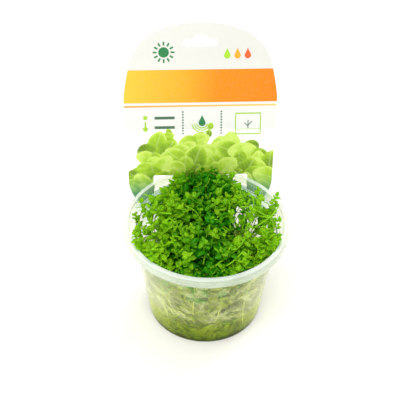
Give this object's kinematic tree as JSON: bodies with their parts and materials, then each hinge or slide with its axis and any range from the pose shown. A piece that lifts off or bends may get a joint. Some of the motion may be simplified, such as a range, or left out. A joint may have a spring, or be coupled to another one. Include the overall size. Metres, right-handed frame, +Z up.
{
  "type": "potted bacopa australis",
  "caption": "Clear stepped-lip culture cup packed with small-leaved creeping bacopa shoots on a gel layer, with a tall arched label card hooked on the back of the rim.",
  "frame": {"origin": "middle of the cup's underside", "axes": "+Z up along the cup's axis, +Y to the back where the label card stands, -Y to the front"},
  "size_m": [0.0956, 0.119, 0.1576],
  "materials": {
    "cup_plastic": "clear injection moulded polypropylene, slightly milky",
    "nutrient_gel": "soft olive culture gel, wet and see-through",
    "label_card": "white printed plastic card, satin",
    "leaves": "fresh green leaves with a soft sheen"
  },
  "bodies": {
    "root": {"cup": "cup_plastic", "gel": "nutrient_gel", "label_card": "label_card", "leaf_cushion": "leaves", "shoot_01": "leaves", "shoot_02": "leaves", "shoot_03": "leaves", "shoot_04": "leaves", "shoot_05": "leaves", "shoot_06": "leaves", "shoot_07": "leaves", "shoot_08": "leaves", "shoot_09": "leaves", "shoot_10": "leaves", "shoot_11": "leaves", "shoot_12": "leaves", "shoot_13": "leaves", "shoot_14": "leaves", "shoot_15": "leaves", "shoot_16": "leaves", "shoot_17": "leaves", "shoot_18": "leaves", "shoot_19": "leaves", "shoot_20": "leaves", "shoot_21": "leaves", "shoot_22": "leaves", "shoot_23": "leaves", "shoot_24": "leaves", "shoot_25": "leaves", "shoot_26": "leaves", "shoot_27": "leaves", "shoot_28": "leaves", "shoot_29": "leaves", "shoot_30": "leaves", "shoot_31": "leaves", "shoot_32": "leaves", "shoot_33": "leaves", "shoot_34": "leaves"}
  },
  "joints": []
}
